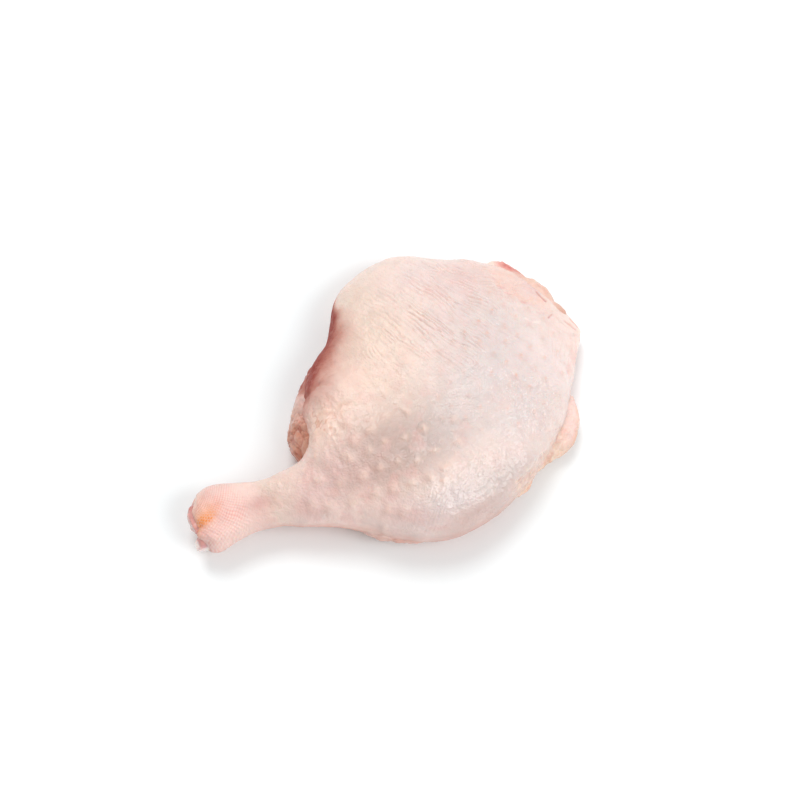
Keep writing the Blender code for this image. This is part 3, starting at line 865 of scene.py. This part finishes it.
def hock_layers(p, hock, groove, crown, radius, angle, band):
    """Peach halo, orange scales and pink grooves, with painted light on the hock's low side."""
    x, y = p[..., 0], p[..., 1]
    sector = smooth(5.0, 14.0, radius)
    uneven = 0.75 + 0.35 * noise(p / 3.0, 382)
    stain = warped(p, 3.0, 1.2, 381)
    orange = spot(stain[..., 0], stain[..., 1], -87.6, -9.6, 6.4, 2.5, 22) * hock
    dots = smooth(-0.30, 0.60, rings_of_dots(radius, angle)) * (1.0 + 0.5 * noise(p / 2.2, 380))
    return [
        (hock * 0.75, (227, 192, 184)),
        (0.55 * spot(x, y, -64.0, -13.5, 5, 3.5), (206, 156, 148)),
        (hock * 0.62 * spot(x, y, -88, -2, 6, 6), (242, 200, 178)),
        (hock * 0.45 * spot(x, y, -81, -13, 7, 8), (236, 184, 176)),
        (hock * 0.50 * spot(x, y, -66, -3, 7, 5), (248, 222, 210)),
        (hock * 0.58 * band * sector * uneven * (0.12 + groove), (222, 148, 138)),
        (hock * 0.35 * crown * uneven, (251, 224, 214)),
        # Painted light on the hock's low side.
        (hock * 0.55 * spot(x, y, -79, -19, 10, 5), PALE_FAT_AND_PAINTED_LIGHT),
        (0.52 * spot(x, y, -87.4, -8.6, 7.0, 4.0, 22) * hock, (240, 178, 138)),
        (1.15 * orange * (0.28 + 0.80 * dots), (234, 136, 44)),
        (0.25 * hock * spot(x, y, -90, -14.5, 4, 3), (226, 152, 144)),
    ]


def meat_tone(p, fibres):
    """Bare meat with its fibres and a few veins of fat."""
    vein = 1 - np.abs(cloud(p, 15.0, 395, 2))
    return layered(np.ones(p.shape) * srgb(150, 58, 50), [
        (0.5 + 0.5 * cloud(p, 12.0, 390, 3), (178, 86, 72)),
        (0.45 * smooth(0.2, 1.0, fibres), (202, 122, 106)),
        (0.75 * smooth(0.90, 0.99, vein), (236, 208, 186)),
    ])


def leg_fields(p, normal, side, edge_gap):
    """Displace the whole leg and tint it."""
    x, y = p[..., 0], p[..., 1]
    top = side > 0
    upper = np.where(top, 1.0, 0.0)
    facing_up = normal[..., 2]
    hock = 1 - smooth(-64.0, -58.0, x)
    relief, *scales = scale_relief(p)
    meat, fat, fibres = meat_side(p, top, edge_gap)
    bare, bare_lip, fatty = fat_seam(p, meat)
    beyond, flap_step, seam_line = far_flap(p, upper)
    creases = crease_masks(p, normal, upper)

    h, bump_tint, dot_tint, painted_bump_shadow, painted_fold_shade = skin_relief(p, top)
    h *= 0.35 + 0.65 * (1 - hock)
    h += relief * hock
    h = h * (1 - meat) + meat * (-1.1 + 0.7 * cloud(p, 11.0, 312, 2) + 0.16 * fibres)
    h += 0.35 * fat * (1 + cloud(p, 3.0, 315, 2))
    h = h * (1 - bare) + bare * (-0.3 + 0.42 * fatty)
    h += bare_lip - flap_step
    for mask, (_, _, depth, _, _) in zip(creases, CREASES):
        h -= depth * mask
    # The pad of skin draws back over the knob of flesh inside the knee.
    h -= 2.6 * spot(x, y, -34, 4, 8, 9) * smooth(0.85, 0.45, facing_up) * upper
    out = p + normal * h[..., None]
    out[..., 2] = np.maximum(out[..., 2], 0.0)
    # The skin's own cut line runs back at both sides of the joint.
    trim = 2.6 * smooth(-5.0, 4.0, y) - 1.7 * bell(y + 13.6, 2.2)
    trim += 0.7 * smooth(-16.0, -18.5, y) + 0.5 * noise(p / 2.4, 329)
    out[..., 0] += trim * np.where(top, 1.0, 0.6) * smooth(-78.0, -90.0, x)

    calf_side = 0.12 + 0.30 * spot(x, y, -20, -24, 40, 30)
    turned_in = smooth(-0.3, 0.3, normal[..., 1])
    # Pinker skin where it turns down at the rim, darkened there as painted shade.
    rim = smooth(0.16 + 0.39 * turned_in, -0.25, facing_up)
    inner_rim = turned_in * smooth(0.30, 0.02, facing_up)
    red, tissue = red_band(p)
    flap = beyond * upper * np.minimum(1.0, 1.5 * spot(x, y, 80, 22, 13, 16, -50))
    tone = layered(base_tone(p), [
        (calf_side * smooth(0.0, 0.9, cloud(p, 6.0, 360, 3)) * upper, (226, 178, 170)),
        # Painted shade in the fold valleys.
        (0.50 * np.clip(painted_fold_shade, 0, 1) * upper, (206, 162, 146)),
        # Painted shadows beside the bumps and follicles.
        (0.55 * painted_bump_shadow, (200, 158, 144)),
        (0.42 * bump_tint, (246, 220, 204)),
        (0.60 * dot_tint, (222, 168, 144)),
        (0.70 * rim * (1 - meat), (222, 148, 128)),
        (0.50 * inner_rim * (1 - meat), (208, 124, 102)),
        *red_layers(red, tissue),
        *flap_layers(p, flap, seam_line),
        *pad_layers(p, normal),
        *seam_layers(p, bare, fatty),
        *hock_layers(p, hock, *scales),
        # The creases' darker colours are painted shade in the creases and pockets.
        *[(strength * mask, colour)
          for mask, (_, _, _, colour, strength) in zip(creases, CREASES)],
        (fat, (243, 220, 190)),
    ])
    tone = tone + (meat_tone(p, fibres) - tone) * meat[..., None]

    wet = 0.45 + 0.25 * cloud(p, 8.0, 400, 2)
    wet = wet + 0.85 * spot(x, y, 20, -50, 30, 14) + 0.75 * spot(x, y, 58, -28, 16, 18)
    wet = wet + 0.25 * spot(x, y, 82, 0, 14, 24) + 0.25 * meat - 0.25 * hock
    wet = wet - 0.25 * spot(x, y, 20, 30, 40, 26) - 1.0 * bell(red, 9.0)
    wet = wet - 0.45 * smooth(0.45, 0.0, facing_up) * (1 - meat)
    crimp = 0.06 + 0.7 * spot(x, y, 44, 24, 26, 22) + 0.3 * spot(x, y, 70, 26, 14, 12)
    crimp = (crimp + 0.10 * spot(x, y, 30, -46, 30, 14)) * upper * (1 - hock)
    return out, {"tone": np.clip(tone, 0.0, 0.98), "wet": np.clip(wet, 0.0, 1.0),
                 "crimp": np.clip(crimp, 0.0, 1.0)}


def build_leg():
    """The leg's stretches; returns the ring that the cut end closes."""
    place, run, middle = run_of(LEG_RIBS)
    ends = [0.0] + [float(np.interp(row[1], middle[:, 0], run)) for row in LEG_STRETCHES]
    ends[-1] = run[-1]
    marks, first_row = [0.0], [0]
    for stretch, start, end in zip(LEG_STRETCHES, ends[:-1], ends[1:]):
        marks.extend(np.linspace(start, end, stretch[2] + 1)[1:])
        first_row.append(len(marks) - 1)
    where = np.interp(marks, run, place)
    p, across, side = loft(LEG_RIBS, where, AROUND_TOP, AROUND_UNDER, 1.0)
    width = np.linalg.norm(p[:, 0] - p[:, AROUND_TOP], axis=-1)[:, None]
    out, fields = leg_fields(p, normals_of(p), side, (across * width, (1 - across) * width))
    normal = normals_of(out)
    for k, (name, *_) in enumerate(LEG_STRETCHES):
        rows = slice(first_row[k], first_row[k + 1] + 1)
        last = k == len(LEG_STRETCHES) - 1
        turned = normal[rows].reshape(-1, 3)
        if last:
            turned = np.vstack([turned, [[1.0, 0.0, 0.0]]])
        make_piece(name, out[rows], {label: field[rows] for label, field in fields.items()},
                   SKIN, cap_last=last, normals=turned)
    return out[0]


def build_cut_end(rim):
    """The cut through the hock joint, closing the leg's first ring."""
    centre = rim.mean(axis=0)
    keep = np.linspace(1.0, 0.02, CUT_RINGS)[:, None, None]
    grid = centre + (rim - centre) * keep
    s = keep[..., 0] * np.ones(grid.shape[:2])
    inner = smooth(1.0, 0.86, s)
    cut = CUT_PLACE + 2.6 * smooth(-6.0, 4.5, grid[..., 1])
    grid[..., 0] = grid[..., 0] * (1 - inner) + cut * inner
    q = warped(grid, 3.0, 1.1, 505)
    y, z = grid[..., 1], grid[..., 2]
    lumps = cloud(q, 3.6, 500, 3)
    fine = cloud(q, 1.3, 504, 2)
    out = 1.5 * inner - 0.6 * bell(s - 0.95, 0.025)
    caps = []
    for (_, cy, cz, radius), (shift, rise) in zip(JOINT_ENDS, JOINT_SHOWS):
        gap = np.hypot(q[..., 1] - cy + shift, (q[..., 2] - cz) / 1.15)
        caps.append(smooth(1.30, 0.35, gap / radius))
        out += rise * caps[-1] * inner
    cleft = bell(q[..., 1] + 9.8, 1.0) * smooth(17.5, 14.0, z) * inner
    out += (0.55 * lumps + 0.15 * fine - 0.9 * cleft) * inner
    grid[..., 0] -= out
    layers = [
        (0.75 * smooth(0.5, -2.5, y), (216, 158, 152)),
        (0.90 * smooth(-2.5, 1.5, y), (182, 82, 68)),
        (0.55 * smooth(0.1, 0.9, lumps), (234, 190, 178)),
        (0.45 * smooth(-0.2, -0.9, fine), (180, 84, 72)),
    ]
    for cap, strength in zip(caps, (0.95, 0.42)):
        edge = smooth(0.20, 0.60, cap + 0.22 * lumps)
        layers.append((strength * edge, (246, 226, 220)))
        layers.append((0.5 * strength * smooth(0.93, 1.0, cap), (248, 238, 236)))
    layers += [
        (0.8 * cleft, (170, 80, 70)),
        (0.85 * spot(y, z, -17.8, 15.2, 1.1, 1.6), (190, 98, 110)),
        (0.80 * spot(y, z, -9.6, 6.2, 1.8, 1.2), (232, 204, 180)),
        (0.85 * smooth(0.94, 0.99, s), (240, 202, 186)),
    ]
    tone = layered(np.ones(grid.shape) * srgb(204, 126, 112), layers)
    wet = np.clip(0.55 + 0.4 * cloud(grid, 3.0, 520, 2), 0, 1)
    make_piece("hock_cut", grid[::-1], {"tone": tone[::-1], "wet": wet[::-1]}, GRISTLE,
               cap_first=True)


TABLE_GAP = 0.15           # how far the loose forms stay off the table


def loose_form(ribs, rows, top, under):
    """Points of a loose form, their place across and side."""
    return loft(ribs, even_places(ribs, rows), top, under, 0.0)


def finish_form(name, p, h, base, layers, wet, material):
    """Displace a loose form, keep it off the table, tint it and make its mesh."""
    out = p + normals_of(p) * h[..., None]
    out[..., 2] = np.maximum(out[..., 2], TABLE_GAP)
    tone = layered(np.ones(p.shape) * srgb(*base), layers)
    make_piece(name, out, {"tone": np.clip(tone, 0, 1), "wet": np.clip(wet, 0, 1)}, material,
               cap_first=True, cap_last=True)


def build_knee():
    """The knob and strip of flesh past the skin inside the knee; the knob is browned partly by
    painted shade.
    """
    p, across, side = loose_form(KNEE_RIBS, rows=200, top=100, under=46)
    y, z = p[..., 1], p[..., 2]
    q = warped(p, 6.0, 3.0, 600)
    low = smooth(21.0, 9.0, y + 0.25 * (q[..., 1] - y))
    net = np.abs(cloud(warped(p, 2.6, 1.2, 604), 2.6, 601, 2))
    folds = np.abs(cloud(q * np.array([1.0, 1.0, 1.7]), 9.0, 602, 2))
    lobes = cloud(q, 8.0, 610, 3)
    h = 1.0 * lobes + 1.6 * (np.minimum(folds, 0.45) - 0.25)
    h += 0.55 * low * (np.minimum(net, 0.4) - 0.2) + 0.10 * cloud(p, 1.2, 611, 2)
    # The knob swells up against the pad of skin beside it.
    h += 3.4 * smooth(17.0, 6.0, y) * bell(across - 0.30, 0.26) * (side > 0)
    finish_form("knee_flesh", p, h, (218, 176, 162), [
        (0.5 * smooth(-0.2, 0.8, lobes), (226, 198, 192)),
        # Brown over the knob, partly its own colour and partly painted shade.
        (0.92 * low, (198, 140, 118)),
        (0.85 * smooth(20.0, 29.0, y), (158, 72, 58)),
        (0.70 * low * smooth(0.16, 0.02, net), (166, 98, 74)),
        (0.30 * low * smooth(0.35, 0.8, net), (220, 172, 148)),
        (0.50 * smooth(0.12, 0.0, folds), (176, 104, 92)),
        (0.35 * (1 - low) * smooth(0.4, 0.9, folds), (240, 214, 204)),
        (0.70 * smooth(6.0, 2.0, z), (176, 92, 80)),
    ], wet=0.30 + 0.35 * cloud(p, 5.0, 630, 2), material=FLESH)


def build_outer_flap():
    """Loose skin and lumpy fat under the outer edge of the thigh, with painted highlights on the
    lumps and painted shade between them.
    """
    p, across, side = loose_form(OUTER_FLAP_RIBS, rows=190, top=84, under=44)
    x, y = p[..., 0], p[..., 1]
    q = warped(p, 3.5, 1.6, 705)
    lumpy = smooth(70.0, 62.0, x - 0.35 * (y + 44.0))
    lumps = cloud(q, 3.2, 710, 3)
    folds = np.abs(cloud(q * np.array([0.6, 1.4, 1.6]), 6.0, 702, 2))
    ends = smooth(0.0, 6.0, np.abs(x - 35.5))
    h = (0.50 * cloud(q, 7.0, 700, 3) + lumpy * 0.60 * lumps) * ends
    h += 0.5 * (1 - lumpy) * (np.minimum(folds, 0.4) - 0.2)
    finish_form("outer_flap", p, h, (236, 205, 196), [
        (0.75 * smooth(0.26, 0.60, across) * (side > 0), (222, 172, 162)),
        (0.70 * smooth(0.14, 0.0, across), (226, 174, 144)),
        # Pale fat, lighter on the lump tops as painted highlights; darker in the hollows between
        # them as painted shade.
        (lumpy * (0.50 + 0.4 * lumps), (242, 214, 192)),
        (lumpy * 0.65 * smooth(0.15, -0.7, lumps), (214, 162, 138)),
        (0.35 * smooth(0.10, 0.0, folds), (220, 160, 148)),
    ], wet=0.45 + 0.4 * cloud(p, 4.0, 720, 2), material=SKIN)


def build_far_rim():
    """The rolled fat rim, with the small red lobe at its near end."""
    p, across, _ = loose_form(FAR_RIM_RIBS, rows=270, top=84, under=36)
    x, y, z = np.moveaxis(p, -1, 0)
    q = warped(p, 4.0, 1.6, 805)
    lumps = cloud(q, 4.4, 800, 3)
    h = 0.38 * lumps + 0.10 * cloud(p, 1.6, 810, 2)
    h += 0.55 * cloud(q, 2.4, 811, 2) * spot(x, y, 81, 39, 6, 4, -50)
    for cx, cy, reach, rise in RIM_LOBES:
        h += rise * spot(x, y, cx, cy, reach, reach)
    # The rim begins inside the leg.
    h -= 2.4 * smooth(63.0, 56.0, x)
    red = spot(q[..., 0], q[..., 1], 83.0, 37.0, 8.0, 3.8, -58)
    deep_red = spot(q[..., 0], q[..., 1], 82.8, 35.6, 3.6, 1.4, -58)
    finish_form("far_rim", p, h, (226, 190, 177), [
        (0.8 * smooth(0.55, 0.85, across) * spot(x, y, 90, 22, 12, 14), (220, 184, 166)),
        (0.30 * smooth(0.0, 0.8, lumps), (240, 216, 202)),
        (0.45 * smooth(0.0, -0.7, lumps), (226, 166, 150)),
        (0.90 * spot(x, y, 64, 51, 9, 6), (242, 204, 196)),
        (0.95 * spot(x, y, 76, 41, 3, 4), (248, 224, 212)),
        (0.80 * smooth(0.15, 0.70, red), (222, 148, 140)),
        (0.80 * deep_red, (198, 92, 88)),
        (0.80 * spot(x, y, 86.2, 31.5, 3.0, 2.4), (208, 142, 132)),
        (0.60 * spot(x, y, 79.5, 42.5, 2.2, 1.6), (246, 222, 214)),
        (0.80 * spot(x, y, 94.5, 7, 3.4, 4.5), (200, 142, 120)),
        (0.70 * smooth(0.86, 1.0, across), (214, 152, 128)),
        (0.65 * (1 - smooth(4.0, 9.0, z)), (222, 158, 142)),
    ], wet=0.30 + 0.4 * cloud(p, 4.0, 830, 2), material=SKIN)


def build_calf_roll():
    """The small roll of skin under the calf."""
    p, across, _ = loose_form(CALF_ROLL_RIBS, rows=90, top=50, under=30)
    finish_form("calf_roll", p, 0.45 * cloud(p, 4.0, 900, 3), (236, 202, 192), [
        (0.5 * smooth(0.0, 0.9, cloud(p, 3.0, 910, 3)), (220, 164, 150)),
        (0.5 * smooth(0.14, 0.0, across), (214, 152, 134)),
    ], wet=0.5 + 0.3 * cloud(p, 4.0, 920, 2), material=SKIN)


# ----------------------------------------------------- floor, light, camera
CAMERA_TURN, CAMERA_HEIGHT = -27.5, 70.0   # azimuth and elevation, degrees
CAMERA_LENS, CAMERA_SENSOR = 85.0, 36.0    # mm
CAMERA_TARGET = Vector((10.05, 2.13, 12.0)) * MM
WIDTH_SEEN = 344.0 * MM                    # across the frame
FLOOR_HALF = 3.0                           # metres
FLOOR_COLOUR = (0.932, 0.970, 0.978, 1.0)
WORLD_STRENGTH = 0.50
# Name, turn from the camera and height in degrees, distance and size in
# metres, power in watts.
SOFTBOXES = [
    ("top_softbox", 200.0, 57.0, 3.4, 2.0, 61.0),
    ("side_softbox", 66.0, 44.0, 2.6, 1.80, 33.0),
]


def towards(turn, height):
    """The way from the middle to a place at that turn and height."""
    a, e = math.radians(turn), math.radians(height)
    return Vector((math.sin(a) * math.cos(e), -math.cos(a) * math.cos(e), math.sin(e)))


def place_camera():
    data = bpy.data.cameras.new("camera")
    data.lens = CAMERA_LENS
    data.sensor_width = CAMERA_SENSOR
    back = towards(CAMERA_TURN, CAMERA_HEIGHT)
    camera = bpy.data.objects.new("camera", data)
    camera.location = CAMERA_TARGET + back * (WIDTH_SEEN * CAMERA_LENS / CAMERA_SENSOR)
    camera.rotation_euler = (-back).to_track_quat("-Z", "Y").to_euler()
    bpy.context.scene.collection.objects.link(camera)
    bpy.context.scene.camera = camera


def soft_light(name, turn, height, distance, size, power):
    data = bpy.data.lights.new(name, "AREA")
    data.shape = "DISK"
    data.size = size
    data.energy = power
    way = towards(turn, height)
    light = bpy.data.objects.new(name, data)
    light.location = way * distance
    light.rotation_euler = (-way).to_track_quat("-Z", "Y").to_euler()
    bpy.context.scene.collection.objects.link(light)


def build_stage():
    mesh = bpy.data.meshes.new("floor")
    corners = [(-1, -1), (1, -1), (1, 1), (-1, 1)]
    mesh.from_pydata([(FLOOR_HALF * x, FLOOR_HALF * y, 0) for x, y in corners],
                     [], [(0, 1, 2, 3)])
    material = bpy.data.materials.new("white_floor")
    material.use_nodes = True
    shader = material.node_tree.nodes["Principled BSDF"]
    shader.inputs["Base Color"].default_value = FLOOR_COLOUR
    shader.inputs["Roughness"].default_value = 0.9
    mesh.materials.append(material)
    floor = bpy.data.objects.new("floor", mesh)
    bpy.context.scene.collection.objects.link(floor)
    world = bpy.data.worlds.new("studio")
    world.use_nodes = True
    world.node_tree.nodes["Background"].inputs["Color"].default_value = (1, 1, 1, 1)
    world.node_tree.nodes["Background"].inputs["Strength"].default_value = WORLD_STRENGTH
    bpy.context.scene.world = world
    for name, turn, height, distance, size, power in SOFTBOXES:
        soft_light(name, CAMERA_TURN + turn, height, distance, size, power)
    view = bpy.context.scene.view_settings
    view.view_transform = "Standard"
    view.look = "None"


rim = build_leg()
build_cut_end(rim)
build_knee()
build_outer_flap()
build_far_rim()
build_calf_roll()
build_stage()
place_camera()
